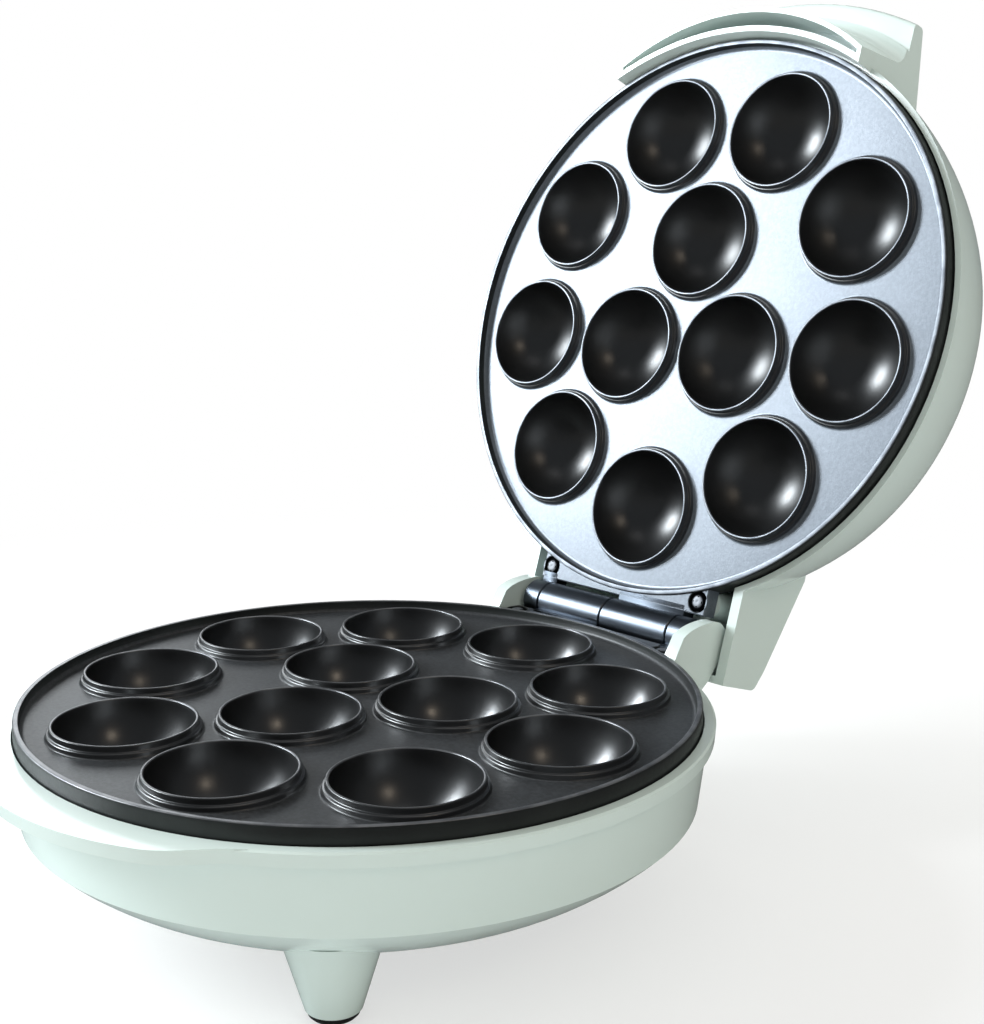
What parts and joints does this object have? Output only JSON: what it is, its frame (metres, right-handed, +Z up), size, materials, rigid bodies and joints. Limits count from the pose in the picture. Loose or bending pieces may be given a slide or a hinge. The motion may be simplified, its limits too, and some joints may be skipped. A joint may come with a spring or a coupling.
{
  "type": "countertop cake pop maker",
  "caption": "Round countertop cooker, open: facing cast plates of round ball cups in a footed bowl and a domed lid with a front grip, joined by a knuckled hinge.",
  "frame": {"origin": "on the floor plane of the four feet, at the middle of the open machine's bounding box", "axes": "+Z is up, +Y runs from the front lip to the hinge and the open lid, +X is to the right seen from the front"},
  "size_m": [0.201, 0.3146, 0.265],
  "materials": {
    "shell_plastic": "glossy moulded pale mint",
    "plate_coating_dark": "dark non-stick coating on cast aluminium, satin",
    "plate_coating_light": "cast aluminium under a thin non-stick coating, satin",
    "bright_steel": "plated, bright",
    "element_steel": "dull tubular element",
    "shield_steel": "pressed sheet",
    "shield_aluminium": "pressed sheet",
    "thermostat_body": "moulded phenolic",
    "block_plastic": "moulded",
    "black_rubber": "matte",
    "red_lens": "clear tinted",
    "green_lens": "clear tinted"
  },
  "bodies": {
    "base": {"base_housing": "shell_plastic", "lower_plate": "plate_coating_dark", "hinge_pin": "bright_steel", "hinge_washer_left": "bright_steel", "hinge_washer_right": "bright_steel", "lower_heater": "element_steel", "lower_shield": "shield_steel", "lower_thermostat": "thermostat_body", "thermal_fuse": "bright_steel", "terminal_block": "block_plastic", "lead_gland": "black_rubber", "foot_front_left": "black_rubber", "foot_front_right": "black_rubber", "foot_rear_left": "black_rubber", "foot_rear_right": "black_rubber", "base_screw_1": "bright_steel", "base_screw_2": "bright_steel", "base_screw_3": "bright_steel", "lower_lug_screw_left": "bright_steel", "lower_lug_screw_right": "bright_steel"},
    "lid": {"lid_housing": "shell_plastic", "upper_plate": "plate_coating_light", "upper_heater": "element_steel", "upper_shield": "shield_aluminium", "upper_thermostat": "thermostat_body", "shield_screw_1": "bright_steel", "shield_screw_2": "bright_steel", "shield_screw_3": "bright_steel", "upper_lug_screw_left": "bright_steel", "upper_lug_screw_right": "bright_steel", "power_lens": "red_lens", "ready_lens": "green_lens"}
  },
  "joints": [
    {"name": "lid_hinge", "type": "hinge", "parent": "base", "child": "lid", "pos_m": [0, 0.05908, 0.0584], "axis": [1, 0, 0], "range_deg": [0, 108.3]}
  ]
}
